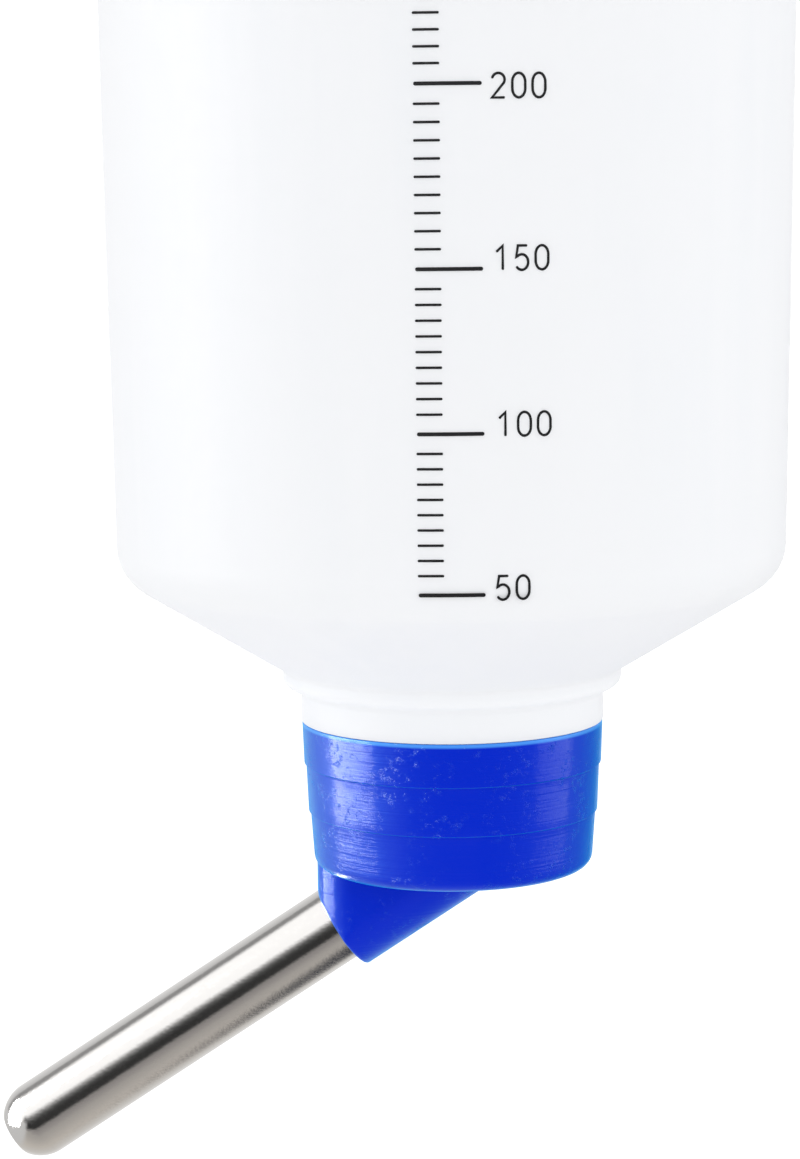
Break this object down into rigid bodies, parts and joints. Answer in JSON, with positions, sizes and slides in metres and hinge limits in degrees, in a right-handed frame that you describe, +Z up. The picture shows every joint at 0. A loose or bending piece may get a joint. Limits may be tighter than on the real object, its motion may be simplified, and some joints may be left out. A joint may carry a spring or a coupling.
{
  "type": "rabbit water bottle",
  "caption": "Translucent hanging pet water bottle with a conical shoulder, a screw cap with a slanted nose and a steel drinking tube closed by balls.",
  "frame": {"origin": "on the bottle's axis, level with the cap's upper rim, where a holder grips the neck", "axes": "+Z up along the bottle's axis towards its base, as it hangs mouth down; the drinking tube points down towards -X"},
  "size_m": [0.0835, 0.0716, 0.2152],
  "materials": {
    "milky_plastic": "translucent milky polyethylene, satin",
    "blue_plastic": "moulded royal blue, semi-gloss",
    "washer_rubber": "smooth matt",
    "tube_steel": "polished stainless steel",
    "ball_steel": "polished stainless steel"
  },
  "bodies": {
    "bottle_body": {"bottle": "milky_plastic"},
    "washer_body": {"sealing_washer": "washer_rubber"},
    "cap_body": {"screw_cap": "blue_plastic", "drinking_tube": "tube_steel"},
    "tip_ball_body": {"tip_ball": "ball_steel"},
    "inner_ball_body": {"inner_ball": "ball_steel"}
  },
  "joints": [
    {"name": "cap_travel", "type": "slide", "parent": "bottle_body", "child": "washer_body", "axis": [0, 0, -1], "range_m": [0, 0.0127]},
    {"name": "cap_turn", "type": "hinge", "parent": "washer_body", "child": "cap_body", "pos_m": [0, 0, 0], "axis": [0, 0, -1], "range_deg": [0, 1080]},
    {"name": "tip_ball_push", "type": "slide", "parent": "cap_body", "child": "tip_ball_body", "axis": [0.8329, 0, 0.5534], "range_m": [0, 0.036]},
    {"name": "inner_ball_roll", "type": "slide", "parent": "tip_ball_body", "child": "inner_ball_body", "axis": [0.8329, 0, 0.5534], "range_m": [0, 0.003]}
  ],
  "couplings": [
    {"joint": "cap_travel", "follows": "cap_turn", "m_per_rad": 0.00066845}
  ]
}
